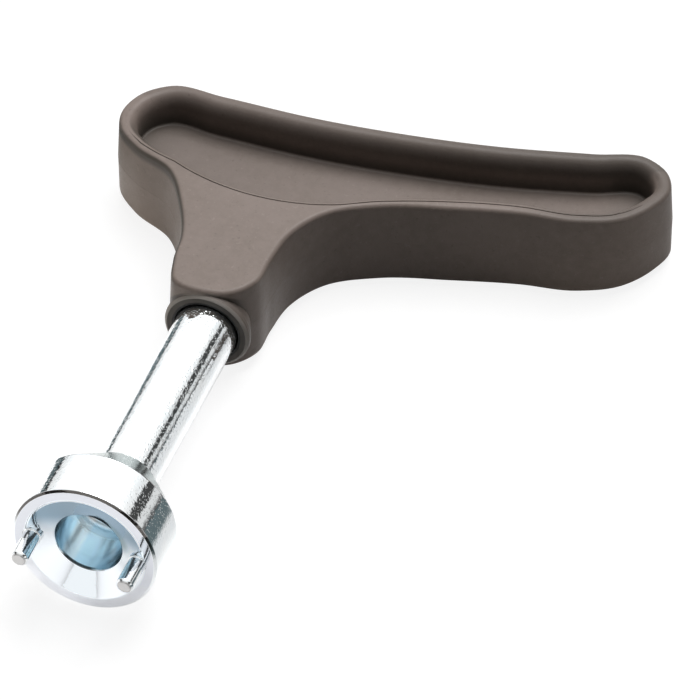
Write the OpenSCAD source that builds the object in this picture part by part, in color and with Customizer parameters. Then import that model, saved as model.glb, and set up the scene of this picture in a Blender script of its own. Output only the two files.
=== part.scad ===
// Spike wrench: a T-handled key that turns shoe spikes by two drive pins.
// It lies flat with its shaft along Y and its drive pins at the -Y end.
// The origin is the centre of the head's front rim. Millimetres.

/* [Head] */
// Outside diameter of the head
head_d = 25; // [23:0.5:32]
// Length of the head's straight band
head_band = 9.4; // [8:0.1:16]
// Length of the cone between the band and the shaft
head_cone = 8.3; // [6:0.1:14]
// Width of the flat rim round the countersink
head_rim = 2.1; // [0.6:0.1:2.4]
// Depth of the countersink
sink_depth = 1.9; // [0.8:0.1:3]
// Diameter of the bore that clears the spike's stud
bore_d = 11.6; // [8:0.1:12]
// Depth of the bore below the rim plane
bore_depth = 12; // [9:0.1:12.6]
// Chamfer on the outer edge of the rim
head_chamfer = 0.4; // [0.1:0.05:0.5]
// Wall left round the shaft where the cone ends
cone_lip = 0.6; // [0.3:0.1:1.5]

/* [Drive pins] */
// Diameter of the circle through the pin centres
pin_circle = 18.3; // [17:0.1:20]
// Diameter of a drive pin
pin_d = 3; // [2:0.1:3.4]
// How much the pin's shank in the head is wider than the pin, on the radius
shank_step = 0.2; // [0.2:0.05:0.4]
// How far a pin stands out of the rim plane
pin_reach = 6; // [3:0.1:10]
// Depth of the seat of a pin's shank below the rim plane
pin_seat = 7; // [4:0.1:7.6]
// Chamfer on a pin's tip
pin_chamfer = 0.5; // [0.2:0.05:0.8]

/* [Shaft] */
// Diameter of the shaft
shaft_d = 10.7; // [10:0.1:12]
// Shaft that shows between the head and the handle
shaft_free = 38; // [20:0.1:120]
// Diameter of the spigot pressed into the back of the head
spigot_d = 8; // [6:0.1:9]
// Length of shaft inside the handle
tang_len = 20; // [14:0.1:22]
// Thickness of the tang across its flats
tang_flat = 8.6; // [6:0.1:9]
// Length of full round shaft left at each end of the flats
tang_round = 4; // [2:0.1:5]

/* [Handle] */
// Thickness of the handle at the middle of its crossbar
handle_t = 16.6; // [16:0.1:24]
// Thickness of the handle at the tips of its arms
tip_t = 14.4; // [13:0.1:24]
// Shaft axis to the tip of the long arm
long_arm = 62.2; // [50:0.1:80]
// Width of the long arm near its tip
long_w = 19.7; // [16:0.1:26]
// How far the palm edge at the long tip stands above the palm edge on the axis
long_rise = 10.8; // [0:0.1:16]
// Shaft axis to the tip of the short arm
short_arm = 29.4; // [26:0.1:40]
// Width of the short arm near its tip
short_w = 16.7; // [13:0.1:18]
// How far the palm edge at the short tip stands below the palm edge on the axis
short_drop = 0.2; // [0:0.1:3]
// Width of the stem
stem_w = 14.4; // [14:0.1:16]
// Length of the stem, from the end of its boss to the crossbar
stem_len = 26.1; // [24:0.1:32]
// Width of the crossbar across the shaft axis
bar_w = 20.4; // [17:0.1:26]
// Diameter of the boss that the shaft enters
boss_d = 14.8; // [14:0.1:15.6]
// How far the boss stands out of the stem's end
boss_out = 0.1; // [0.1:0.1:3]
// Chamfer on the end of the boss
boss_chamfer = 0.3; // [0.2:0.1:0.8]
// Width of the recess round the shaft in the mouth of the boss
mouth_gap = 0.2; // [0.1:0.05:0.8]
// Depth of that recess
mouth_depth = 1.5; // [0.5:0.1:2]
// Rounding of the outer edges
edge_r = 0.8; // [0.5:0.1:1.6]
// Inset of the walls from the parting line to the edges
draft = 0.2; // [0.1:0.05:0.6]

/* [Pocket] */
// Depth of the pocket in each face of the crossbar
pocket_depth = 6.4; // [3:0.1:7]
// Width of the rim on the palm side and round the tips
rim_w = 3.4; // [3:0.1:4]
// Width of the rim on the finger side of the long arm
finger_rim_w = 2.6; // [2.5:0.1:4]
// Rounding of the rim's inner edge on the palm side; the finger side's is smaller by its width
rim_r = 1.5; // [0.6:0.1:1.6]
// Length of the stem's flat top, from the end of the boss to the pocket's edge
pocket_from = 25.5; // [22:0.1:28]
// Radius of the pocket's edge across the stem
pocket_arc = 35; // [30:1:80]
// How far the middle of that edge lies from the axis, on the short side
pocket_shift = 1; // [0:0.5:6]
// Reach of that edge on the short side
pocket_short = 16; // [15:0.5:17]
// Reach of that edge on the long side
pocket_long = 18; // [16:0.5:19]
// Rounding of that edge
pocket_edge_r = 0.5; // [0.2:0.1:0.8]
// Rounding between the pocket's wall and floor
floor_r = 1.5; // [0.6:0.1:1.6]

/* [Fits] */
// Gap left on the radius of each pressed or moulded joint
press_gap = 0.02; // [0.01:0.01:0.05]

/* [Hidden] */
$fn = 96;
curve_steps = 4;
arc_steps = 2;
overrun = 1;
head_len = head_band + head_cone;
handle_y = head_len + shaft_free;
shank_d = pin_d + 2 * shank_step;
stem_r = stem_w / 2;
palm = stem_len + bar_w;
long_near = palm + long_rise - long_w;
short_near = palm - short_drop - short_w;
handle_top = handle_t / 2;
bar_mid = (long_arm - short_arm) / 2;
bar_half = (long_arm + short_arm) / 2;

// Outline of the handle at its parting line, anticlockwise, from the end of the
// stem's flank on the short side. Y is measured from the end of the stem.
stem_points = [
    [-2.32 * stem_r, 0.995 * stem_len],
    [-1.71 * stem_r, 0.743 * stem_len],
    [-1.29 * stem_r, 0.461 * stem_len],
    [-1.17 * stem_r, 0.239 * stem_len],
    [-0.88 * stem_r, boss_out + 0.13 * stem_r],
    [-0.2 * stem_r, boss_out],
    [0.5 * stem_r, boss_out + 0.18 * stem_r],
    [0.97 * stem_r, boss_out + 0.8 * stem_r],
    [stem_r, 0.437 * stem_len],
    [1.11 * stem_r, 0.703 * stem_len],
    [1.6 * stem_r, 0.946 * stem_len],
    [2.64 * stem_r, 1.128 * stem_len],
];
bar_points = [
    [0.485 * long_arm, long_near - 0.23 * long_w],
    [0.66 * long_arm, long_near - 0.08 * long_w],
    [0.81 * long_arm, long_near],
    [0.92 * long_arm, long_near + 0.175 * long_w],
    [0.98 * long_arm, long_near + 0.44 * long_w],
    [long_arm, long_near + 0.7 * long_w],
    [0.97 * long_arm, long_near + 0.89 * long_w],
    [0.897 * long_arm, long_near + long_w],
    [0.76 * long_arm, palm + 0.765 * long_rise],
    [0.55 * long_arm, palm + 0.435 * long_rise],
    [0.275 * long_arm, palm + 0.155 * long_rise],
    [0, palm],
    [-0.486 * short_arm, palm - 0.6 * short_drop],
    [-0.8 * short_arm, palm - short_drop],
    [-0.948 * short_arm, short_near + 0.79 * short_w],
    [-short_arm, short_near + 0.5 * short_w],
    [-0.958 * short_arm, short_near + 0.235 * short_w],
    [-0.816 * short_arm, short_near],
];
outline_points = concat(stem_points, bar_points);
stem_count = len(stem_points);
outline_count = len(outline_points);
// Places in the outline of the long and the short tip
long_tip = stem_count + 5;
short_tip = stem_count + 15;

// Item i of a closed list
function item(list, i) = list[(i + len(list)) % len(list)];

// Direction of a closed curve at point i, weighted by the nearer neighbour
function heading(list, i) =
    let (back = list[i] - item(list, i - 1), ahead = item(list, i + 1) - list[i])
    (back * norm(ahead) / norm(back) + ahead * norm(back) / norm(ahead))
    / (norm(back) + norm(ahead));

// Point at share t of the curve from point i to the next one
function between(list, i, t) =
    let (a = list[i], b = item(list, i + 1), d = norm(b - a))
    a * (2 * t * t * t - 3 * t * t + 1) + b * (3 * t * t - 2 * t * t * t)
    + heading(list, i) * d * (t * t * t - 2 * t * t + t)
    + heading(list, (i + 1) % len(list)) * d * (t * t * t - t * t);

// Smooth closed curve through the points of a list
function smooth(list) = [
    for (i = [0 : len(list) - 1], k = [0 : curve_steps - 1]) between(list, i, k / curve_steps)
];

// Unit normal of an anticlockwise curve, towards its inside
function inward(list, i) =
    let (step = item(list, i + 1) - item(list, i - 1))
    [-step[1], step[0]] / norm(step);

// Point of the pocket's edge across the stem
function pocket_edge(x) =
    [x, pocket_from + pocket_arc - sqrt(pow(pocket_arc, 2) - pow(x + pocket_shift, 2))];

// Top of the pocket's wall: across the stem on its arc, elsewhere inside the rim
pocket_points = concat(
    [for (k = [0 : stem_count - 1])
        pocket_edge(-pocket_short + k * (pocket_short + pocket_long) / (stem_count - 1))],
    [for (i = [stem_count : outline_count - 1])
        outline_points[i] + rim_width(i) * inward(outline_points, i)]
);
outer = smooth(outline_points);
inner = smooth(pocket_points);
ring_count = len(outer);

// Width of the rim at outline point i
function rim_width(i) = i < long_tip - 1 ? finger_rim_w : rim_w;

// Rounding of the pocket's edge at outline point i: fine on the stem, on the rim by its width
function lip_at(i) =
    i % outline_count < stem_count ? pocket_edge_r
    : rim_r * (rim_width(i) - draft - edge_r) / (rim_w - draft - edge_r);

// Rounding of the pocket's edge at curve point i
function lip(i) =
    let (at = floor(i / curve_steps), share = i / curve_steps - at)
    lip_at(at) * (1 - share) + lip_at(at + 1) * share;

// Point of the handle at height z of its middle, lowered towards the tips
function crowned(p, z) =
    let (off = (p[0] - bar_mid) / bar_half)
    [p[0], p[1], z * (1 - (1 - tip_t / handle_t) * pow(off, 4))];

// Closed ring at height z, moved inwards from the outer or the inner curve
function outer_ring(inset, z) = [
    for (i = [0 : ring_count - 1]) crowned(outer[i] + inset * inward(outer, i), z)
];
function inner_ring(inset, z) = [
    for (i = [0 : ring_count - 1]) crowned(inner[i] + inset * inward(inner, i), z)
];
function lip_ring(angle) = [
    for (i = [0 : ring_count - 1])
        crowned(inner[i] - lip(i) * (1 - cos(angle)) * inward(inner, i),
            handle_top - lip(i) * (1 - sin(angle)))
];

// Rings of the upper half, from the pocket's floor over the rim to the parting line
upper_rings = concat(
    [for (k = [0 : arc_steps])
        let (angle = 90 * k / arc_steps)
        inner_ring(draft + floor_r * (1 - sin(angle)),
            handle_top - pocket_depth + floor_r * (1 - cos(angle)))],
    [for (k = [0 : arc_steps]) lip_ring(90 * k / arc_steps)],
    [for (k = [0 : arc_steps])
        let (angle = 90 * k / arc_steps)
        outer_ring(draft + edge_r * (1 - sin(angle)), handle_top - edge_r * (1 - cos(angle)))],
    [outer_ring(0, 0)]
);
half_count = len(upper_rings);
handle_rings = concat(
    upper_rings,
    [for (k = [half_count - 2 : -1 : 0]) [for (p = upper_rings[k]) [p[0], p[1], -p[2]]]]
);

// Skin of the handle: walls between its rings, and a strip across each pocket's
// floor from the near side, which has twice as many points, to the palm side
module skin(rings) {
    n = len(rings[0]);
    last = (len(rings) - 1) * n;
    walls = [
        for (k = [0 : len(rings) - 2], i = [0 : n - 1])
            let (a = k * n + i, b = k * n + (i + 1) % n)
            each [[a, b, a + n], [b, b + n, a + n]]
    ];
    strip_count = (short_tip - long_tip) * curve_steps;
    start = short_tip * curve_steps;
    floor = [
        for (k = [0 : strip_count - 1])
            let (
                a = (start + 2 * k) % n,
                b = (start + 2 * k + 1) % n,
                c = (start + 2 * k + 2) % n,
                palm_a = start - k,
                palm_c = start - k - 1
            )
            each concat(
                k > 0 ? [[a, palm_a, b]] : [],
                [[b, palm_a, palm_c]],
                k < strip_count - 1 ? [[b, palm_c, c]] : []
            )
    ];
    under = [for (f = floor) [last + f[0], last + f[2], last + f[1]]];
    polyhedron([for (ring = rings, p = ring) p], concat(walls, floor, under));
}

// Round bar along Y, from y0 to y1
module bar(d, y0, y1) {
    translate([0, y0, 0]) rotate([-90, 0, 0]) cylinder(d = d, h = y1 - y0);
}

// Shaft with its flatted tang, from the head to the end inside the handle;
// grow widens it for the hole that it fits
module rod(grow) {
    flats_start = handle_y + tang_round;
    flats_end = handle_y + tang_len - tang_round;
    flats_w = shaft_d + 2 * overrun;
    difference() {
        bar(shaft_d + 2 * grow, head_len, handle_y + tang_len + grow);
        for (side = [0, 1])
            mirror([0, 0, side])
                translate([-flats_w / 2, flats_start + grow, tang_flat / 2 + grow])
                    cube([flats_w, flats_end - flats_start - 2 * grow, shaft_d]);
    }
}

// Round boss at the end of the stem, chamfered at its mouth
module boss() {
    translate([0, handle_y, 0]) rotate([-90, 0, 0]) rotate_extrude()
        polygon([
            [0, 0],
            [boss_d / 2 - boss_chamfer, 0],
            [boss_d / 2, boss_chamfer],
            [boss_d / 2, stem_r + boss_out],
            [0, stem_r + boss_out],
        ]);
}

module handle() {
    color("#857b75")
    difference() {
        union() {
            translate([0, handle_y, 0]) skin(handle_rings);
            boss();
        }
        rod(press_gap);
        bar(shaft_d + 2 * mouth_gap, handle_y - overrun, handle_y + mouth_depth);
    }
}

module shaft() {
    color("#d8dcdc")
    union() {
        rod(0);
        bar(spigot_d, bore_depth, head_len + overrun);
    }
}

module head() {
    color("#cfd4d6")
    difference() {
        rotate([-90, 0, 0]) rotate_extrude()
            polygon([
                [0, 0],
                [head_d / 2 - head_chamfer, 0],
                [head_d / 2, head_chamfer],
                [head_d / 2, head_band],
                [shaft_d / 2 + cone_lip, head_len],
                [0, head_len],
            ]);
        rotate([-90, 0, 0]) rotate_extrude()
            polygon([
                [0, -overrun],
                [head_d / 2 - head_rim, -overrun],
                [head_d / 2 - head_rim, 0],
                [bore_d / 2, sink_depth],
                [bore_d / 2, bore_depth],
                [0, bore_depth],
            ]);
        bar(spigot_d + 2 * press_gap, bore_depth - overrun, head_len + overrun);
        for (side = [-1, 1])
            translate([side * pin_circle / 2, 0, 0]) bar(shank_d + 2 * press_gap, -overrun, pin_seat);
    }
}

// Drive pin on one side of the bore, with its shank up to the rim plane
module drive_pin(side) {
    color("#c4c9cc")
    translate([side * pin_circle / 2, -pin_reach, 0]) rotate([-90, 0, 0]) rotate_extrude()
        polygon([
            [0, 0],
            [pin_d / 2 - pin_chamfer, 0],
            [pin_d / 2, pin_chamfer],
            [pin_d / 2, pin_reach],
            [shank_d / 2, pin_reach],
            [shank_d / 2, pin_reach + pin_seat],
            [0, pin_reach + pin_seat],
        ]);
}

module drive_pin_left() {
    drive_pin(-1);
}

module drive_pin_right() {
    drive_pin(1);
}

handle();
shaft();
head();
drive_pin_left();
drive_pin_right();
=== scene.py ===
"""Spike wrench: a moulded handle on a bright zinc shaft, head and drive pins.

Metres, in the frame's own axes: the shaft lies along Y, the drive pins point to
-Y, the long arm of the handle points to +X and the handle's faces are at +Z and -Z.
"""

import math

import bmesh
import bpy
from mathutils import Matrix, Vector


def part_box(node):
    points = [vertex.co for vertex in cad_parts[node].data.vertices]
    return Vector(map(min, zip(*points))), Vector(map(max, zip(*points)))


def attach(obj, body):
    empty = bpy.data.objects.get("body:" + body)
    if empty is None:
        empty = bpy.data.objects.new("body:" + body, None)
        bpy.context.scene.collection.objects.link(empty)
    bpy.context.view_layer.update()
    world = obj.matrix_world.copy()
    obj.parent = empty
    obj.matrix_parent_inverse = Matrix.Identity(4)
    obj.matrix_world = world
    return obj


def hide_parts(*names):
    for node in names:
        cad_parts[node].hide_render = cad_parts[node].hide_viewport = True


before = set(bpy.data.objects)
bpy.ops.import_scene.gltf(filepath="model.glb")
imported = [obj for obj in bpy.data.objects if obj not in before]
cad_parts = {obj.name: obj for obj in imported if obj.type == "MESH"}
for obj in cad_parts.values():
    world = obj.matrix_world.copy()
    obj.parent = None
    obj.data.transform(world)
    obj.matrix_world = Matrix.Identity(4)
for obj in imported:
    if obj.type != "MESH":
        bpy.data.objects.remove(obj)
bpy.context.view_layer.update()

MM = 0.001


# Sizes in millimetres, read from the solids where they can be.

def box_mm(node):
    """Lowest and highest corner of a solid, in millimetres."""
    low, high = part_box(node)
    return low / MM, high / MM


HANDLE_LOW, HANDLE_HIGH = box_mm("handle")
HEAD_HIGH = box_mm("head")[1]
SHAFT_LOW, SHAFT_HIGH = box_mm("shaft")
PIN_LOW, PIN_HIGH = box_mm("drive_pin_right")

HEAD_R = HEAD_HIGH.x
HEAD_LEN = HEAD_HIGH.y
HEAD_BAND = 9.4
HEAD_RIM = 2.1
HEAD_CHAMFER = 0.4
SINK_DEPTH = 1.9
BORE_R = 5.8
BORE_DEPTH = SHAFT_LOW.y
BORE_ROUND = 1.6
CONE_LIP = 0.6

SHAFT_R = SHAFT_HIGH.x
SHAFT_END = SHAFT_HIGH.y
SPIGOT_R = 4.0

SHANK_R = (PIN_HIGH.x - PIN_LOW.x) / 2
SHANK_STEP = 0.2
PIN_R = SHANK_R - SHANK_STEP
PIN_X = (PIN_HIGH.x + PIN_LOW.x) / 2
PIN_TIP = PIN_LOW.y
PIN_FOOT = PIN_HIGH.y
PIN_CHAMFER = 0.5

HANDLE_Y = HANDLE_LOW.y
HANDLE_TOP = HANDLE_HIGH.z
HANDLE_T = 16.6
TIP_T = 14.4
TIP_SHARE = TIP_T / HANDLE_T
LONG_ARM = HANDLE_HIGH.x
SHORT_ARM = -HANDLE_LOW.x
LONG_W = 19.7
LONG_RISE = 10.8
SHORT_W = 16.7
SHORT_DROP = 0.2
STEM_R = 7.2
STEM_LEN = 26.1
BAR_W = 20.4
BOSS_R = 7.4
BOSS_OUT = 0.1
BOSS_BEVEL = 0.45
BOSS_COLLAR = 1.2
BOSS_TAPER = 2.6
MOUTH_GAP = 0.2
MOUTH_DEPTH = 1.5
MOUTH_FLARE = 0.1
EDGE_R = 0.8
DRAFT = 0.2
POCKET_DEPTH = 6.4
RIM_W = 3.4
FINGER_RIM_W = 2.6
RIM_LIP = 1.8
RIM_DROP = 3.2
FINGER_LIP = 0.75
POCKET_FROM = 25.5
POCKET_ARC = 35.0
POCKET_SHIFT = 1.0
POCKET_SHORT = 16.0
POCKET_LONG = 18.0
POCKET_EDGE_R = 0.5
GROOVE_W = 0.26
GROOVE_DEPTH = 0.13
# Steps across the groove, each with its share of the depth.
GROOVE_STEPS = ((0.02, 0.0), (0.08, 1.0), (0.19, 1.0), (GROOVE_W, 0.0))
FLOOR_R = 0.5
PALM = STEM_LEN + BAR_W
LONG_NEAR = PALM + LONG_RISE - LONG_W
SHORT_NEAR = PALM - SHORT_DROP - SHORT_W
BAR_MID = (LONG_ARM - SHORT_ARM) / 2
BAR_HALF = (LONG_ARM + SHORT_ARM) / 2
# Depth and height of the fine groove at the parting line, from its edge to its middle.
PARTING_LINE = ((0.0, 0.12), (0.03, 0.05), (0.04, 0.0))
# Gap between pieces that are pressed together, and how far a cutter stands out of its piece.
FIT_GAP = 0.02
CUT_OUT = 1.0

# The finer curves bulge a little past the solid's facets, so the skin lies this far inside.
SKIN_INSET = 0.08

CURVE_STEPS = 10
ARC_STEPS = 7
ROUND_STEPS = 6
SHARP_DEG = 35.0


# Meshes

def smooth_shaded(mesh):
    """Makes the shading smooth, except across edges that turn sharply."""
    for face in mesh.polygons:
        face.use_smooth = True
    mesh.set_sharp_from_angle(angle=math.radians(SHARP_DEG))


def mesh_object(name, points, faces):
    """Smooth-shaded object from points in millimetres, with its faces turned outwards."""
    mesh = bpy.data.meshes.new(name)
    mesh.from_pydata([Vector(p) * MM for p in points], [], faces)
    tidy = bmesh.new()
    tidy.from_mesh(mesh)
    bmesh.ops.remove_doubles(tidy, verts=tidy.verts, dist=1e-7)
    bmesh.ops.recalc_face_normals(tidy, faces=tidy.faces)
    tidy.to_mesh(mesh)
    tidy.free()
    smooth_shaded(mesh)
    made = bpy.data.objects.new(name, mesh)
    bpy.context.scene.collection.objects.link(made)
    return made


def weighted(piece):
    """Keeps large faces flat-looking beside their narrow edge rounds."""
    normals = piece.modifiers.new("normals", "WEIGHTED_NORMAL")
    normals.keep_sharp = True
    normals.weight = 80


def rounded(corners):
    """Profile with a round at each corner; corners are (y, r, round)."""
    profile = []
    for i, (y, r, size) in enumerate(corners):
        here = Vector((y, r))
        if size <= 0 or i == 0 or i == len(corners) - 1:
            profile.append(here)
            continue
        back = (Vector(corners[i - 1][:2]) - here).normalized()
        ahead = (Vector(corners[i + 1][:2]) - here).normalized()
        half = back.angle(ahead) / 2
        reach = size / math.tan(half)
        start, stop = here + back * reach, here + ahead * reach
        middle = here + (back + ahead).normalized() * (size / math.sin(half))
        a, b = start - middle, stop - middle
        turn = a.angle(b)
        for k in range(ROUND_STEPS + 1):
            t = k / ROUND_STEPS
            profile.append(
                middle
                + a * (math.sin((1 - t) * turn) / math.sin(turn))
                + b * (math.sin(t * turn) / math.sin(turn))
            )
    return profile


def turned(name, corners, sides, x=0.0, closed=False):
    """Turned piece about an axis along Y at the given X."""
    profile = rounded(corners)
    points, rings = [], []
    for y, r in profile:
        if r < 1e-6:
            rings.append([len(points)])
            points.append((x, y, 0.0))
            continue
        first = len(points)
        rings.append(list(range(first, first + sides)))
        for k in range(sides):
            angle = 2 * math.pi * k / sides
            points.append((x + r * math.cos(angle), y, r * math.sin(angle)))
    faces = []
    pairs = list(zip(rings, rings[1:]))
    if closed:
        pairs.append((rings[-1], rings[0]))
    for one, two in pairs:
        for k in range(sides):
            n = (k + 1) % sides
            if len(one) == 1:
                faces.append((one[0], two[k], two[n]))
            elif len(two) == 1:
                faces.append((one[k], one[n], two[0]))
            else:
                faces.append((one[k], one[n], two[n], two[k]))
    return mesh_object(name, points, faces)


# Handle: a closed curve for its outline, one for its pocket, and rings between them

def heading(points, i):
    """Direction in which the curve passes a point."""
    back = points[i] - points[i - 1]
    ahead = points[(i + 1) % len(points)] - points[i]
    return (
        back * (ahead.length / back.length) + ahead * (back.length / ahead.length)
    ) / (back.length + ahead.length)


def smooth_curve(points):
    """Closed smooth curve through the points."""
    curve = []
    for i, a in enumerate(points):
        b = points[(i + 1) % len(points)]
        span = (b - a).length
        leave = heading(points, i) * span
        arrive = heading(points, (i + 1) % len(points)) * span
        for k in range(CURVE_STEPS):
            t = k / CURVE_STEPS
            curve.append(
                a * (2 * t**3 - 3 * t**2 + 1)
                + b * (3 * t**2 - 2 * t**3)
                + leave * (t**3 - 2 * t**2 + t)
                + arrive * (t**3 - t**2)
            )
    return curve


def inward(curve, i):
    """Unit vector at a point, square to the curve and into its inside."""
    step = curve[(i + 1) % len(curve)] - curve[i - 1]
    return Vector((-step.y, step.x)).normalized()


STEM_POINTS = [
    Vector((-2.32 * STEM_R, 0.995 * STEM_LEN)),
    Vector((-1.71 * STEM_R, 0.743 * STEM_LEN)),
    Vector((-1.29 * STEM_R, 0.461 * STEM_LEN)),
    Vector((-1.17 * STEM_R, 0.239 * STEM_LEN)),
    Vector((-0.88 * STEM_R, BOSS_OUT + 0.13 * STEM_R)),
    Vector((-0.2 * STEM_R, BOSS_OUT)),
    Vector((0.5 * STEM_R, BOSS_OUT + 0.18 * STEM_R)),
    Vector((0.97 * STEM_R, BOSS_OUT + 0.8 * STEM_R)),
    Vector((STEM_R, 0.437 * STEM_LEN)),
    Vector((1.11 * STEM_R, 0.703 * STEM_LEN)),
    Vector((1.6 * STEM_R, 0.946 * STEM_LEN)),
    Vector((2.64 * STEM_R, 1.128 * STEM_LEN)),
]
BAR_POINTS = [
    Vector((0.485 * LONG_ARM, LONG_NEAR - 0.23 * LONG_W)),
    Vector((0.66 * LONG_ARM, LONG_NEAR - 0.08 * LONG_W)),
    Vector((0.81 * LONG_ARM, LONG_NEAR)),
    Vector((0.92 * LONG_ARM, LONG_NEAR + 0.175 * LONG_W)),
    Vector((0.98 * LONG_ARM, LONG_NEAR + 0.44 * LONG_W)),
    Vector((LONG_ARM, LONG_NEAR + 0.7 * LONG_W)),
    Vector((0.97 * LONG_ARM, LONG_NEAR + 0.89 * LONG_W)),
    Vector((0.897 * LONG_ARM, LONG_NEAR + LONG_W)),
    Vector((0.76 * LONG_ARM, PALM + 0.765 * LONG_RISE)),
    Vector((0.55 * LONG_ARM, PALM + 0.435 * LONG_RISE)),
    Vector((0.275 * LONG_ARM, PALM + 0.155 * LONG_RISE)),
    Vector((0.0, PALM)),
    Vector((-0.486 * SHORT_ARM, PALM - 0.6 * SHORT_DROP)),
    Vector((-0.8 * SHORT_ARM, PALM - SHORT_DROP)),
    Vector((-0.948 * SHORT_ARM, SHORT_NEAR + 0.79 * SHORT_W)),
    Vector((-SHORT_ARM, SHORT_NEAR + 0.5 * SHORT_W)),
    Vector((-0.958 * SHORT_ARM, SHORT_NEAR + 0.235 * SHORT_W)),
    Vector((-0.816 * SHORT_ARM, SHORT_NEAR)),
]
STEM_COUNT = len(STEM_POINTS)
OUTLINE_COUNT = STEM_COUNT + len(BAR_POINTS)
# Places along the pocket's near edge, each across from its point of the stem.
POCKET_SHARES = (0.0, 0.10, 0.19, 0.265, 0.335, 0.40, 0.46, 0.52, 0.58, 0.66, 0.80, 1.0)
LONG_TIP = STEM_COUNT + 5
SHORT_TIP = STEM_COUNT + 15
# The groove fades out before the long tip and comes back after the short one.
GROOVE_STOP = LONG_TIP - 0.6
GROOVE_FADE = 1.5
GROOVE_START = OUTLINE_COUNT - 2


def rim_width(i):
    return FINGER_RIM_W if i < LONG_TIP - 1 else RIM_W


def lip_round(at):
    """Width and drop of the pocket's edge: fine on the stem, a full roll on the palm side."""
    first, share = int(at), at - int(at)
    pair = []
    for i in (first % OUTLINE_COUNT, (first + 1) % OUTLINE_COUNT):
        if i < STEM_COUNT:
            pair.append(Vector((POCKET_EDGE_R, POCKET_EDGE_R)))
        elif i < LONG_TIP - 1:
            pair.append(Vector((FINGER_LIP, FINGER_LIP)))
        else:
            pair.append(Vector((RIM_LIP, RIM_DROP)))
    return pair[0].lerp(pair[1], share)


def groove_share(at):
    """1 along the pocket's near edge, 0 round the tips and on the palm side."""
    if at <= STEM_COUNT:
        return 1.0
    fade = at - GROOVE_START if at > SHORT_TIP else (GROOVE_STOP - at) / GROOVE_FADE
    return max(0.0, min(1.0, fade))


def handle_rings():
    """Rings of the handle's skin, from the upper pocket's floor to the lower one's."""
    outline = STEM_POINTS + BAR_POINTS
    pocket = []
    for share in POCKET_SHARES:
        x = -POCKET_SHORT + share * (POCKET_SHORT + POCKET_LONG)
        sag = math.sqrt(POCKET_ARC**2 - (x + POCKET_SHIFT) ** 2)
        pocket.append(Vector((x, POCKET_FROM + POCKET_ARC - sag)))
    for i in range(STEM_COUNT, OUTLINE_COUNT):
        pocket.append(outline[i] + rim_width(i) * inward(outline, i))
    outer, inner = smooth_curve(outline), smooth_curve(pocket)
    count = len(outer)
    outer_in = [inward(outer, i) for i in range(count)]
    inner_in = [inward(inner, i) for i in range(count)]
    lip = [lip_round(i / CURVE_STEPS) for i in range(count)]
    groove = [groove_share(i / CURVE_STEPS) for i in range(count)]

    def crowned(p, z):
        off = (p.x - BAR_MID) / BAR_HALF
        return (p.x, HANDLE_Y + p.y, z * (1 - (1 - TIP_SHARE) * off**4))

    def outer_ring(inset, z):
        inset += SKIN_INSET
        return [crowned(outer[i] + inset * outer_in[i], z) for i in range(count)]

    def inner_ring(inset, z):
        return [crowned(inner[i] + inset * inner_in[i], z) for i in range(count)]

    turns = [math.pi / 2 * k / ARC_STEPS for k in range(ARC_STEPS + 1)]
    rings = []
    floor_z = HANDLE_TOP - POCKET_DEPTH
    for a in turns:
        inset = DRAFT + FLOOR_R * (1 - math.sin(a))
        rings.append(inner_ring(inset, floor_z + FLOOR_R * (1 - math.cos(a))))
    for a in turns:
        rings.append(
            [
                crowned(
                    inner[i] - lip[i].x * (1 - math.cos(a)) * inner_in[i],
                    HANDLE_TOP - lip[i].y * (1 - math.sin(a)),
                )
                for i in range(count)
            ]
        )
    # A fine groove follows the pocket's near edge, then the top runs on to the outer edge.
    for away, share in GROOVE_STEPS:
        rings.append(
            [
                crowned(
                    inner[i] - (lip[i].x + away) * inner_in[i],
                    HANDLE_TOP - GROOVE_DEPTH * share * groove[i],
                )
                for i in range(count)
            ]
        )
    for share in (0.1, 0.3, 0.5, 0.7, 0.9):
        ring = []
        for i in range(count):
            a = inner[i] - (lip[i].x + GROOVE_W) * inner_in[i]
            b = outer[i] + (DRAFT + EDGE_R + SKIN_INSET) * outer_in[i]
            ring.append(crowned(a.lerp(b, share), HANDLE_TOP))
        rings.append(ring)
    for a in turns:
        inset = DRAFT + EDGE_R * (1 - math.sin(a))
        rings.append(outer_ring(inset, HANDLE_TOP - EDGE_R * (1 - math.cos(a))))
    # The wall down to the parting line, which shows as a fine groove.
    wall = HANDLE_TOP - EDGE_R
    for share in (0.75, 0.5, 0.25):
        rings.append(outer_ring(DRAFT * share, wall * share))
    for depth, z in PARTING_LINE[:-1]:
        rings.append(outer_ring(depth, z))
    half = list(rings)
    rings.append(outer_ring(*PARTING_LINE[-1]))
    for ring in reversed(half):
        rings.append([(x, y, -z) for x, y, z in ring])
    return rings


def handle_skin(name):
    """Handle without its boss: walls between the rings and strips across both floors."""
    rings = handle_rings()
    n = len(rings[0])
    points = [p for ring in rings for p in ring]
    faces = []
    for k in range(len(rings) - 1):
        for i in range(n):
            j = (i + 1) % n
            faces.append((k * n + i, k * n + j, (k + 1) * n + j, (k + 1) * n + i))
    start = SHORT_TIP * CURVE_STEPS
    strips = (SHORT_TIP - LONG_TIP) * CURVE_STEPS
    last = (len(rings) - 1) * n
    for base in (0, last):
        for k in range(strips):
            a, b, c = ((start + 2 * k + s) % n for s in range(3))
            palm_a, palm_c = start - k, start - k - 1
            if k > 0:
                faces.append((base + a, base + palm_a, base + b))
            faces.append((base + b, base + palm_a, base + palm_c))
            if k < strips - 1:
                faces.append((base + b, base + palm_c, base + c))
    return mesh_object(name, points, faces)


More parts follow.
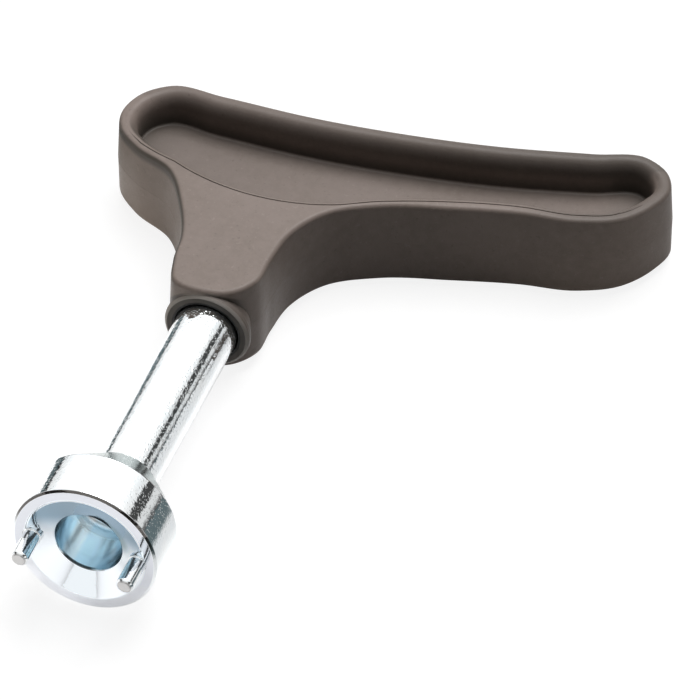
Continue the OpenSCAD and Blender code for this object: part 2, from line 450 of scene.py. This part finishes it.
def cut_or_join(piece, other, operation):
    """Applies a boolean to a piece and removes the other object."""
    step = piece.modifiers.new("shape", "BOOLEAN")
    step.operation = operation
    step.solver = "EXACT"
    step.object = other
    graph = bpy.context.evaluated_depsgraph_get()
    result = bpy.data.meshes.new_from_object(piece.evaluated_get(graph))
    piece.modifiers.clear()
    old = piece.data
    piece.data = result
    bpy.data.meshes.remove(old)
    spare = other.data
    bpy.data.objects.remove(other)
    bpy.data.meshes.remove(spare)


def build_handle():
    piece = handle_skin("handle_moulding")
    boss_end = HANDLE_Y + BOSS_OUT + STEM_R
    boss = turned(
        "boss",
        [
            (HANDLE_Y, 0.0, 0),
            (HANDLE_Y, BOSS_R - BOSS_BEVEL, 0.2),
            (HANDLE_Y + BOSS_BEVEL, BOSS_R, 0.4),
            (HANDLE_Y + BOSS_COLLAR, BOSS_R, 0.6),
            (boss_end, BOSS_R - BOSS_TAPER, 0),
            (boss_end, 0.0, 0),
        ],
        sides=144,
    )
    cut_or_join(piece, boss, "UNION")
    mouth_r, hole_r = SHAFT_R + MOUTH_GAP, SHAFT_R + FIT_GAP
    hole = turned(
        "hole",
        [
            (HANDLE_Y - CUT_OUT, 0.0, 0),
            (HANDLE_Y - CUT_OUT, mouth_r + CUT_OUT + MOUTH_FLARE, 0),
            (HANDLE_Y + MOUTH_FLARE, mouth_r, 0.1),
            (HANDLE_Y + MOUTH_DEPTH, mouth_r, 0.05),
            (HANDLE_Y + MOUTH_DEPTH, hole_r, 0),
            (SHAFT_END + FIT_GAP, hole_r, 0),
            (SHAFT_END + FIT_GAP, 0.0, 0),
        ],
        sides=144,
    )
    cut_or_join(piece, hole, "DIFFERENCE")
    smooth_shaded(piece.data)
    weighted(piece)
    return piece


def build_head():
    piece = turned(
        "head_turning",
        [
            (BORE_DEPTH, SPIGOT_R + FIT_GAP, 0),
            (BORE_DEPTH, BORE_R, BORE_ROUND),
            (SINK_DEPTH, BORE_R, 0.35),
            (0.0, HEAD_R - HEAD_RIM, 0.7),
            (0.0, HEAD_R - HEAD_CHAMFER, 0.12),
            (HEAD_CHAMFER, HEAD_R, 0.15),
            (HEAD_BAND, HEAD_R, 0.5),
            (HEAD_LEN, SHAFT_R + CONE_LIP, 0.25),
            (HEAD_LEN, SPIGOT_R + FIT_GAP, 0),
        ],
        sides=256,
        closed=True,
    )
    weighted(piece)
    return piece


def build_shaft():
    piece = turned(
        "shaft_rod",
        [
            (BORE_DEPTH, 0.0, 0),
            (BORE_DEPTH, SPIGOT_R, 0.03),
            (HEAD_LEN, SPIGOT_R, 0),
            (HEAD_LEN, SHAFT_R, 0.1),
            (SHAFT_END, SHAFT_R, 0.3),
            (SHAFT_END, 0.0, 0),
        ],
        sides=192,
    )
    weighted(piece)
    return piece


def build_pin(name, side):
    piece = turned(
        name,
        [
            (PIN_TIP, 0.0, 0),
            (PIN_TIP, PIN_R - PIN_CHAMFER, 0.2),
            (PIN_TIP + PIN_CHAMFER, PIN_R, 0.25),
            (0.0, PIN_R, 0.08),
            (0.0, SHANK_R, 0.08),
            (PIN_FOOT, SHANK_R, 0.1),
            (PIN_FOOT, 0.0, 0),
        ],
        x=side * PIN_X,
        sides=96,
    )
    weighted(piece)
    return piece


# Materials

class Shader:
    """Short way to add nodes to a material or world and join them."""

    def __init__(self, owner):
        owner.use_nodes = True
        self.tree = owner.node_tree
        self.tree.nodes.clear()

    def node(self, kind, inputs=None, **settings):
        made = self.tree.nodes.new(kind)
        for key, value in settings.items():
            setattr(made, key, value)
        for key, value in (inputs or {}).items():
            self.put(made.inputs[key], value)
        return made

    def put(self, socket, value):
        if isinstance(value, bpy.types.NodeSocket):
            self.tree.links.new(value, socket)
        else:
            socket.default_value = value

    def math(self, operation, one, two=0.0):
        made = self.node("ShaderNodeMath", operation=operation)
        self.put(made.inputs[0], one)
        self.put(made.inputs[1], two)
        return made.outputs[0]

    def times(self, *factors):
        """Product of two or more factors."""
        product = factors[0]
        for factor in factors[1:]:
            product = self.math("MULTIPLY", product, factor)
        return product

    def between(self, share, one, two):
        """Plain value from one, where the share is 0, to two, where it is 1."""
        return self.math("ADD", self.times(share, self.math("SUBTRACT", two, one)), one)

    def remap(self, value, low, high, to_low, to_high, smooth=True):
        made = self.node(
            "ShaderNodeMapRange",
            {
                "Value": value,
                "From Min": low,
                "From Max": high,
                "To Min": to_low,
                "To Max": to_high,
            },
            interpolation_type="SMOOTHSTEP" if smooth else "LINEAR",
        )
        return made.outputs["Result"]

    def mix(self, factor, one, two):
        made = self.node("ShaderNodeMix", data_type="RGBA")
        self.put(made.inputs[0], factor)
        self.put(made.inputs[6], one)
        self.put(made.inputs[7], two)
        return made.outputs[2]

    def added(self, one, two):
        """Sum of two shaders."""
        made = self.node("ShaderNodeAddShader")
        self.put(made.inputs[0], one)
        self.put(made.inputs[1], two)
        return made.outputs[0]

    def mixed(self, factor, one, two):
        """One of two shaders, or a blend of them."""
        made = self.node("ShaderNodeMixShader", {"Fac": factor})
        self.put(made.inputs[1], one)
        self.put(made.inputs[2], two)
        return made.outputs[0]

    def millimetres(self, stretch=(1.0, 1.0, 1.0)):
        """Place on the piece in millimetres, stretched along an axis by a small factor."""
        place = self.node("ShaderNodeTexCoord").outputs["Object"]
        scale = tuple(s / MM for s in stretch)
        made = self.node("ShaderNodeMapping", {"Vector": place, "Scale": scale})
        return made.outputs["Vector"]

    def split(self, vector):
        """X, Y and Z of a vector."""
        made = self.node("ShaderNodeSeparateXYZ", {"Vector": vector})
        return tuple(made.outputs[k] for k in "XYZ")

    def length(self, vector):
        made = self.node("ShaderNodeVectorMath", {0: vector}, operation="LENGTH")
        return made.outputs["Value"]

    def from_axis(self, x, z):
        """Vector from the shaft's axis, and its length."""
        around = self.node("ShaderNodeCombineXYZ", {"X": x, "Z": z}).outputs[0]
        return around, self.length(around)

    def noise(self, vector, scale, detail, roughness):
        made = self.node(
            "ShaderNodeTexNoise",
            {"Vector": vector, "Scale": scale, "Detail": detail, "Roughness": roughness},
        )
        return made.outputs["Fac"]

    def bump(self, height, distance_mm, strength, under=None):
        made = self.node(
            "ShaderNodeBump",
            {"Height": height, "Distance": distance_mm * MM, "Strength": strength},
        )
        if under is not None:
            self.put(made.inputs["Normal"], under)
        return made.outputs["Normal"]


# The handle's plastic

# Corners get painted shade where another wall is nearer than this.
SHADE_REACH = 8.0
# The palm edge rises towards the long tip, as this power of the way to its highest point.
PALM_PEAK = 0.897 * LONG_ARM
PALM_POWER = 1.7


def plastic_colour(s, place, mottle):
    """Brown-grey with soft clouds, dark specks and light ones."""
    clouds = s.noise(place, 0.06, 3.0, 0.55)
    specks = s.noise(place, 1.5, 2.0, 0.6)
    base = s.mix(
        s.remap(clouds, 0.3, 0.7, 0.0, 1.0),
        (0.214, 0.172, 0.149, 1.0),
        (0.240, 0.194, 0.172, 1.0),
    )
    base = s.mix(s.remap(mottle, 0.3, 0.7, 0.0, 0.5), base, (0.262, 0.214, 0.190, 1.0))
    base = s.mix(s.remap(specks, 0.62, 0.78, 0.0, 0.5), base, (0.150, 0.118, 0.102, 1.0))
    return s.mix(s.remap(specks, 0.38, 0.24, 0.0, 0.35), base, (0.330, 0.280, 0.255, 1.0))


def boss_painted_light(s, y, radius, base):
    """Painted shade on the boss's end face and side, a painted highlight on its front edge and
    painted black shade in its mouth.
    """
    from_end = s.math("SUBTRACT", y, HANDLE_Y)
    # Painted shade: the end face turns away from the light.
    end_face = s.times(
        s.remap(radius, BOSS_R - 0.6, BOSS_R - 0.4, 0.82, 0.0),
        s.remap(from_end, 0.05, 0.15, 1.0, 0.0),
    )
    base = s.mix(end_face, base, (0.042, 0.040, 0.034, 1.0))
    # Painted shade on the side of the boss.
    side = s.times(
        s.remap(from_end, 0.35, 0.55, 0.0, 0.55),
        s.remap(from_end, 2.0, 4.0, 1.0, 0.0),
        s.remap(radius, BOSS_R + 0.2, BOSS_R + 0.6, 1.0, 0.0),
    )
    base = s.mix(side, base, (0.050, 0.046, 0.040, 1.0))
    # Painted highlight along the front edge, where the light arc shows.
    edge_highlight = s.times(
        s.remap(radius, BOSS_R - 0.62, BOSS_R - 0.48, 0.0, 0.75),
        s.remap(from_end, 0.30, 0.48, 1.0, 0.0),
        s.remap(radius, BOSS_R, BOSS_R + 0.1, 1.0, 0.0),
    )
    base = s.mix(edge_highlight, base, (0.37, 0.345, 0.32, 1.0))
    # Painted black shade in the recess around the shaft.
    mouth = s.times(
        s.remap(radius, SHAFT_R + 0.5, SHAFT_R + 0.75, 1.0, 0.0),
        s.remap(from_end, 2.0, 2.5, 1.0, 0.0),
    )
    return s.mix(mouth, base, (0.009, 0.009, 0.008, 1.0))


def handle_painted_shade(s, x, y, z, corner, base):
    """Painted shade along the edges and rims, and on the floors and walls in the pockets."""
    # Height on the wall: 1 at the upper face, 0 at the parting line, -1 at the lower face.
    off = s.math("POWER", s.math("DIVIDE", s.math("SUBTRACT", x, BAR_MID), BAR_HALF), 4.0)
    crown = s.math("SUBTRACT", HANDLE_TOP, s.times(off, HANDLE_TOP * (1 - TIP_SHARE)))
    height = s.math("DIVIDE", z, crown)
    level = s.math("ABSOLUTE", height)
    normal = s.node("ShaderNodeNewGeometry").outputs["Normal"]
    flat = s.math("ABSOLUTE", s.split(normal)[2])
    # A painted dark band of shade runs along the upper edge of the stem's left flank and the
    # short arm.
    past_stem = s.math("SUBTRACT", y, HANDLE_Y + SHORT_NEAR)
    edge_shade = s.times(
        s.remap(height, 0.70, 0.88, 0.0, 0.84),
        s.remap(height, 0.972, 0.9995, 1.0, 0.0),
        s.remap(x, -8.0, -5.0, 1.0, 0.0),
        s.remap(past_stem, 3.0, 8.0, 1.0, 0.0),
    )
    base = s.mix(edge_shade, base, (0.070, 0.060, 0.050, 1.0))
    # Painted shade makes the pocket floors darker than the faces.
    floor_shade = s.times(
        s.remap(flat, 0.75, 0.95, 0.0, 1.0),
        s.remap(level, 0.35, 0.6, 1.0, 0.0),
        s.remap(x, -18.0, 4.0, 0.28, 0.16),
    )
    base = s.mix(floor_shade, base, (0.050, 0.045, 0.040, 1.0))
    # Painted shade darkens the rim on the palm side, most of all towards the long tip.
    way = s.math("MAXIMUM", s.math("DIVIDE", x, PALM_PEAK), 0.0)
    rise = s.times(s.math("POWER", way, PALM_POWER), LONG_RISE)
    from_palm = s.math("SUBTRACT", y, s.math("ADD", rise, HANDLE_Y + PALM))
    palm_rim = s.times(
        s.remap(from_palm, -RIM_W - 1.8, -RIM_W, 0.0, 1.0),
        s.remap(level, 0.5, 0.75, 0.0, 1.0),
    )
    tip = s.times(s.remap(x, 34.0, 54.0, 0.0, 0.7), s.remap(level, 0.90, 0.97, 0.0, 1.0))
    palm_shade = s.times(
        s.math("MAXIMUM", palm_rim, tip),
        s.remap(x, -15.0, 50.0, 0.25, 0.66, smooth=False),
    )
    base = s.mix(palm_shade, base, (0.050, 0.045, 0.038, 1.0))
    # Painted shade darkens the foot of the pocket walls.
    foot = s.times(
        s.remap(flat, 0.80, 0.98, 1.0, 0.0),
        s.remap(level, 0.30, 0.75, 0.6, 0.0),
        s.remap(corner, 0.60, 0.88, 1.0, 0.0),
    )
    return s.mix(foot, base, (0.014, 0.015, 0.011, 1.0))


def plastic():
    """Moulded plastic with an even fine grain, with painted shade and highlights on its pockets,
    edges, rims and boss.
    """
    material = bpy.data.materials.new("handle_plastic")
    s = Shader(material)
    place = s.millimetres()
    x, y, z = s.split(place)
    grain = s.noise(place, 2.6, 3.0, 0.6)
    mottle = s.noise(place, 0.55, 3.0, 0.65)
    # Painted shade, from ambient occlusion, darkens the walls and corners of the pockets.
    hidden = s.node(
        "ShaderNodeAmbientOcclusion", {"Distance": SHADE_REACH * MM}, samples=12, only_local=True
    )
    corner = hidden.outputs["AO"]
    base = plastic_colour(s, place, mottle)
    base = s.mix(s.remap(corner, 0.30, 0.98, 0.66, 0.0), base, (0.040, 0.038, 0.030, 1.0))
    base = boss_painted_light(s, y, s.from_axis(x, z)[1], base)
    base = handle_painted_shade(s, x, y, z, corner, base)
    normal = s.bump(grain, 0.030, 0.55)
    normal = s.bump(mottle, 0.05, 0.4, under=normal)
    shader = s.node(
        "ShaderNodeBsdfPrincipled",
        {
            "Base Color": base,
            "Roughness": s.remap(grain, 0.3, 0.7, 0.36, 0.48, smooth=False),
            "Normal": normal,
            "IOR": 1.46,
            "Specular IOR Level": 0.26,
        },
    )
    s.node("ShaderNodeOutputMaterial", {"Surface": shader.outputs[0]})
    return material


# The zinc plate. Each finish returns the colour, the roughness and how far the pits show.

def shaft_finish(s, place, base, rough):
    """The end that closes the bore is dull and blue like the bore itself."""
    end = s.remap(s.split(place)[1], BORE_DEPTH + 0.1, BORE_DEPTH + 0.3, 1.0, 0.0)
    base = s.mix(end, base, (0.92, 0.985, 1.0, 1.0))
    rough = s.math("ADD", rough, s.times(end, 0.2))
    return base, rough, s.math("SUBTRACT", 1.0, end)


def pin_finish(s, place, base, rough):
    """The cut ends of the pins are dull."""
    face = s.remap(s.split(place)[1], PIN_TIP + 0.15, PIN_TIP + 0.3, 1.0, 0.0)
    base = s.mix(face, base, (0.60, 0.59, 0.585, 1.0))
    rough = s.math("ADD", rough, s.remap(face, 0.0, 1.0, 0.05, 0.3))
    return base, rough, 0.6


def front_painted_reflections(s, radius, z, upper_right):
    """Faced front of the head: a countersink with a painted dark blue reflection above the bore
    and a painted dark crescent, inside a rim painted lighter low down.
    """
    sink_r = HEAD_R - HEAD_RIM
    # Painted reflection: the sink is dark blue-grey above the bore.
    bluer = s.times(
        s.remap(z, -1.0, 5.0, 0.0, 1.0),
        s.remap(radius, sink_r - 0.4, sink_r - 0.1, 1.0, 0.0),
    )
    sink = s.mix(bluer, (0.92, 0.96, 1.0, 1.0), (0.30, 0.41, 0.50, 1.0))
    # Painted dark reflection in a crescent at the upper right.
    crescent = s.times(
        s.remap(radius, BORE_R + 0.5, BORE_R + 2.2, 0.6, 0.0),
        s.remap(upper_right, 0.70, 0.95, 0.0, 1.0),
    )
    sink = s.mix(crescent, sink, (0.16, 0.27, 0.29, 1.0))
    # Painted reflection on the rim, lighter low down.
    rim = s.mix(
        s.remap(z, -8.0, -2.0, 0.0, 1.0),
        (0.93, 0.94, 0.98, 1.0),
        (0.72, 0.735, 0.78, 1.0),
    )
    return s.mix(s.remap(radius, sink_r, sink_r + 0.3, 0.0, 1.0), sink, rim)


def head_finish(s, place, base, rough):
    """Smooth bluish front with painted reflections, a dull cone painted dark green, a painted
    dark reflection on the rim's edge and a blue bore with a painted highlight.
    """
    x, depth, z = s.split(place)
    around, radius = s.from_axis(x, z)

    def along(angle_deg):
        """1 in a direction from the axis, given as the angle from straight down towards -X."""
        angle = math.radians(angle_deg)
        aim = (-math.sin(angle), 0.0, -math.cos(angle))
        made = s.node("ShaderNodeVectorMath", {0: around, 1: aim}, operation="DOT_PRODUCT")
        return s.math("DIVIDE", made.outputs["Value"], radius)

    front = s.times(
        s.remap(radius, HEAD_R - 0.5, HEAD_R - 0.4, 1.0, 0.0),
        s.remap(depth, SINK_DEPTH, SINK_DEPTH + 0.4, 1.0, 0.0),
    )
    base = s.mix(front, base, front_painted_reflections(s, radius, z, along(233.0)))
    # The cone behind the band is duller, and painted a dark green that stands in for its shaded
    # reflection.
    cone = s.remap(depth, HEAD_BAND, HEAD_BAND + 0.4, 0.0, 1.0)
    base = s.mix(cone, base, (0.20, 0.265, 0.255, 1.0))
    rough = s.math("ADD", rough, s.times(cone, 0.14))
    # A painted dark reflection runs along the upper part of the rim's outer edge.
    edge = s.times(
        s.remap(radius, HEAD_R - 0.45, HEAD_R - 0.35, 0.0, 1.0),
        s.remap(depth, HEAD_CHAMFER - 0.1, HEAD_CHAMFER + 0.05, 1.0, 0.0),
        s.remap(z, 1.0, 5.0, 0.0, 0.92),
    )
    base = s.mix(edge, base, (0.070, 0.058, 0.050, 1.0))
    # The passivated bore is bluer and duller than the outside, with a painted highlight as a
    # bright strip and a dark mark at its lower edge.
    inside = s.times(
        s.remap(radius, BORE_R + 0.1, BORE_R + 0.3, 1.0, 0.0),
        s.remap(depth, SINK_DEPTH - 0.3, SINK_DEPTH + 0.3, 0.0, 1.0),
    )
    highlight_strip = s.remap(along(41.0), 0.955, 0.995, 0.0, 1.0)
    bore = s.mix(highlight_strip, (0.76, 0.915, 1.0, 1.0), (1.0, 1.0, 1.0, 1.0))
    base = s.mix(inside, base, bore)
    mark = s.times(
        s.remap(radius, BORE_R + 0.12, BORE_R + 0.2, 1.0, 0.0),
        s.remap(depth, SINK_DEPTH + 0.35, SINK_DEPTH + 0.6, 1.0, 0.0),
        s.remap(along(20.0), 0.80, 0.94, 0.0, 0.95),
    )
    base = s.mix(mark, base, (0.030, 0.038, 0.040, 1.0))
    rough = s.math("ADD", rough, s.times(inside, 0.15))
    calm = s.math("MAXIMUM", front, inside)
    return base, rough, s.math("SUBTRACT", 1.0, s.times(calm, 0.95))


def zinc(name, finish, stretch, line_scale, line_depth, pit_depth):
    """Bright zinc: a near-white mirror over scattered pits and tool or draw lines."""
    material = bpy.data.materials.new(name)
    s = Shader(material)
    place = s.millimetres()
    lines = s.noise(s.millimetres(stretch), line_scale, 2.0, 0.5)
    swell = s.noise(place, 0.9, 1.0, 0.5)
    pits = s.remap(s.noise(place, 2.6, 0.0, 0.5), 0.56, 0.72, 0.0, 1.0)
    fine = s.noise(place, 3.2, 1.0, 0.5)
    stain = s.noise(place, 0.16, 3.0, 0.6)
    base = s.mix(
        s.remap(stain, 0.35, 0.7, 0.0, 1.0),
        (0.950, 0.960, 0.965, 1.0),
        (0.900, 0.930, 0.950, 1.0),
    )
    base = s.mix(s.remap(fine, 0.66, 0.8, 0.0, 0.5), base, (0.62, 0.65, 0.67, 1.0))
    rough = s.remap(stain, 0.3, 0.7, 0.018, 0.035, smooth=False)
    rough = s.math("ADD", rough, s.remap(lines, 0.4, 0.7, 0.0, 0.012))
    base, rough, pitted = finish(s, place, base, rough)
    normal = s.bump(lines, line_depth, 1.0)
    normal = s.bump(swell, 0.025, pitted, under=normal)
    normal = s.bump(pits, pit_depth, pitted, under=normal)
    shader = s.node(
        "ShaderNodeBsdfPrincipled",
        {"Base Color": base, "Roughness": rough, "Normal": normal, "Metallic": 1.0},
    )
    s.node("ShaderNodeOutputMaterial", {"Surface": shader.outputs[0]})
    return material


def dress(piece, material, node):
    """Puts a piece in the place of its solid."""
    piece.data.materials.clear()
    piece.data.materials.append(material)
    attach(piece, "root")
    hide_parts(node)


# Camera, along the photograph's line of sight

AIM = Vector((23.59, 59.71, 0.0)) * MM
AZIMUTH = math.radians(20.60)
ELEVATION = math.radians(42.98)
FRAME_WIDTH = 114.2 * MM
# Direction from the object to where the photographer stands.
STAND = Vector(
    (
        math.sin(AZIMUTH) * math.cos(ELEVATION),
        -math.cos(AZIMUTH) * math.cos(ELEVATION),
        math.sin(ELEVATION),
    )
)


def make_camera():
    data = bpy.data.cameras.new("camera")
    data.sensor_width = 36.0
    data.lens = 1700.0
    distance = FRAME_WIDTH * data.lens / data.sensor_width
    data.clip_start = 0.1
    data.clip_end = distance * 3
    camera = bpy.data.objects.new("camera", data)
    camera.location = AIM + STAND * distance
    camera.rotation_mode = "QUATERNION"
    camera.rotation_quaternion = (-STAND).to_track_quat("-Z", "Y")
    bpy.context.scene.collection.objects.link(camera)
    bpy.context.scene.camera = camera


# Studio: the floor leans so that the head's band and the handle's palm edge rest on it

FLOOR_HALF = 900.0
FLOOR_GAP = 0.02
# Share of the handle's height that the crown leaves where the palm edge is highest.
PALM_CROWN = 0.985
# Glow that keeps the floor white in the picture.
PAPER_GLOW = 0.87


def floor_paper():
    """White to the camera, with painted shade and a painted glow in reflections, and glowing to
    throw a little light on the walls.
    """
    material = bpy.data.materials.new("floor_paper")
    s = Shader(material)
    path = s.node("ShaderNodeLightPath")
    place = s.millimetres()
    x, y = s.split(place)[:2]
    fibre = s.noise(place, 0.35, 3.0, 0.6)
    mirrored = s.math(
        "MAXIMUM", path.outputs["Is Glossy Ray"], path.outputs["Is Transmission Ray"]
    )
    seen = s.math("MAXIMUM", path.outputs["Is Camera Ray"], mirrored)
    # In reflections the lit paper ends on both sides in painted shade, and fades towards the
    # right.
    run = s.math("MINIMUM", s.math("SUBTRACT", x, 45.0), s.math("SUBTRACT", x, y))
    slant = s.math("ADD", y, s.times(x, 0.366))
    left = s.times(s.remap(x, -42.0, -34.0, 1.0, 0.0), s.remap(slant, 58.0, 66.0, 0.0, 1.0))
    beyond = s.math("MAXIMUM", left, s.remap(run, -12.0, 6.0, 0.0, 1.0))
    lit_paper = s.times(s.math("SUBTRACT", 1.0, beyond), s.remap(x, 8.0, 26.0, 1.0, 0.76))
    # Close to the head's front a painted glow makes it brighter in reflections, most of all to
    # the left.
    offset = s.node(
        "ShaderNodeCombineXYZ",
        {
            "X": s.math("DIVIDE", s.math("ADD", x, 2.0), 13.0),
            "Y": s.math("DIVIDE", s.math("ADD", y, 3.0), 6.0),
        },
    )
    close = s.times(
        s.remap(s.length(offset.outputs[0]), 0.6, 1.3, 1.0, 0.0),
        s.remap(x, -5.0, 3.0, 0.28, 0.06),
    )
    paper = s.mix(fibre, (0.20, 0.20, 0.20, 1.0), (0.24, 0.24, 0.24, 1.0))
    sheen = s.mix(lit_paper, (0.125, 0.165, 0.175, 1.0), (0.90, 0.90, 0.90, 1.0))
    lit = s.node("ShaderNodeBsdfDiffuse", {"Color": s.mix(mirrored, paper, sheen)})
    extra = s.math("ADD", s.times(lit_paper, s.remap(x, 5.0, 30.0, 0.34, 0.14)), close)
    glow = s.node("ShaderNodeEmission", {"Strength": s.between(mirrored, PAPER_GLOW, extra)})
    bright = s.added(lit.outputs[0], glow.outputs[0])
    # The paper on the left, and a little on the right, glows and throws light on the walls.
    dull = s.node("ShaderNodeBsdfDiffuse", {"Color": (0.22, 0.215, 0.21, 1.0)})
    amount = s.math(
        "ADD", s.remap(x, -26.0, -8.0, 1.14, 0.0), s.remap(x, 34.0, 52.0, 0.0, 0.22)
    )
    thrown = s.node("ShaderNodeEmission", {"Color": (1.0, 0.95, 0.86, 1.0), "Strength": amount})
    dim = s.added(dull.outputs[0], thrown.outputs[0])
    s.node("ShaderNodeOutputMaterial", {"Surface": s.mixed(seen, dim, bright)})
    return material


def make_floor():
    near_y, near_z = HEAD_BAND, -HEAD_R
    far_y, far_z = HANDLE_HIGH.y - EDGE_R, -HANDLE_TOP * PALM_CROWN
    slope = (far_z - near_z) / (far_y - near_y)
    points = []
    for x, y in ((-1, -1), (1, -1), (1, 1), (-1, 1)):
        x, y = x * FLOOR_HALF, y * FLOOR_HALF
        points.append((x, y, near_z - FLOOR_GAP + slope * (y - near_y)))
    floor = mesh_object("floor", points, [(0, 1, 2, 3)])
    floor.data.materials.append(floor_paper())


# Heights of the dark room's edge in reflections, as the sine of the angle above the horizon.
FRONT_EDGE = 0.53
BACK_EDGE_LEFT = 0.055
BACK_EDGE_RIGHT = 0.445
ROOM_DARK = 0.03


def make_world():
    """Pale dome with a dark band low down, which the bright metal reflects."""
    world = bpy.data.worlds.new("studio")
    bpy.context.scene.world = world
    s = Shader(world)
    x, y, z = s.split(s.node("ShaderNodeTexCoord").outputs["Generated"])
    path = s.node("ShaderNodeLightPath")
    # Behind the object the light panel comes down to a dark band, higher towards +X.
    # In front a pale sheet is followed by the dark room, up to well above the head.
    back = s.remap(y, -0.25, 0.1, 0.0, 1.0)
    back_edge = s.remap(x, -0.5, 0.75, BACK_EDGE_LEFT, BACK_EDGE_RIGHT)
    above = s.math("SUBTRACT", z, s.between(back, FRONT_EDGE, back_edge))
    sky = s.remap(above, -0.02, 0.02, 0.0, 1.0)
    panel = s.remap(above, 0.0, 0.30, 0.82, 1.20)
    # On the right the band has a grey foot.
    right = s.times(s.remap(x, 0.3, 0.6, 0.0, 1.0), s.remap(y, 0.2, 0.5, 0.0, 1.0))
    foot = s.remap(z, 0.05, 0.15, 0.14, 0.72)
    grey = s.between(s.remap(z, 0.23, 0.27, 0.0, 1.0), foot, 0.06)
    sheet = s.times(s.math("SUBTRACT", 1.0, back), s.remap(z, 0.20, 0.24, 0.95, 0.09))
    dark = s.math("MAXIMUM", s.between(right, ROOM_DARK, grey), sheet)
    level = s.between(sky, dark, panel)
    shine = s.node("ShaderNodeBackground", {"Color": (0.985, 1.0, 1.0, 1.0), "Strength": level})
    soft = s.node("ShaderNodeBackground", {"Color": (0.95, 0.98, 1.0, 1.0), "Strength": 0.02})
    white = s.node("ShaderNodeBackground", {"Color": (1, 1, 1, 1), "Strength": 1.0})
    unseen = s.mixed(path.outputs["Is Glossy Ray"], soft.outputs[0], shine.outputs[0])
    seen = s.math(
        "MAXIMUM", path.outputs["Is Camera Ray"], path.outputs["Is Transmission Ray"]
    )
    s.node("ShaderNodeOutputWorld", {"Surface": s.mixed(seen, unseen, white.outputs[0])})


def area_light(name, place_mm, aim_mm, size_mm, power):
    data = bpy.data.lights.new(name, "AREA")
    data.shape = "RECTANGLE"
    data.size, data.size_y = size_mm[0] * MM, size_mm[1] * MM
    data.energy = power
    light = bpy.data.objects.new(name, data)
    light.location = Vector(place_mm) * MM
    aim = Vector(aim_mm) * MM - light.location
    light.rotation_mode = "QUATERNION"
    light.rotation_quaternion = aim.to_track_quat("-Z", "Y")
    bpy.context.scene.collection.objects.link(light)


make_camera()

dress(build_handle(), plastic(), "handle")
shaft_zinc = zinc(
    "zinc_drawn",
    shaft_finish,
    stretch=(1.0, 0.04, 1.0),
    line_scale=2.2,
    line_depth=0.010,
    pit_depth=0.015,
)
dress(build_shaft(), shaft_zinc, "shaft")
head_zinc = zinc(
    "zinc_turned",
    head_finish,
    stretch=(0.05, 1.0, 0.05),
    line_scale=3.0,
    line_depth=0.002,
    pit_depth=0.007,
)
dress(build_head(), head_zinc, "head")
pin_zinc = zinc(
    "zinc_pins",
    pin_finish,
    stretch=(1.0, 0.3, 1.0),
    line_scale=2.5,
    line_depth=0.003,
    pit_depth=0.008,
)
dress(build_pin("pin_left", -1), pin_zinc, "drive_pin_left")
dress(build_pin("pin_right", 1), pin_zinc, "drive_pin_right")

make_floor()
make_world()
area_light("key", place_mm=(50, 340, 760), aim_mm=(20, 70, 0), size_mm=(620, 600), power=7.6)

bpy.context.scene.view_settings.view_transform = "Standard"
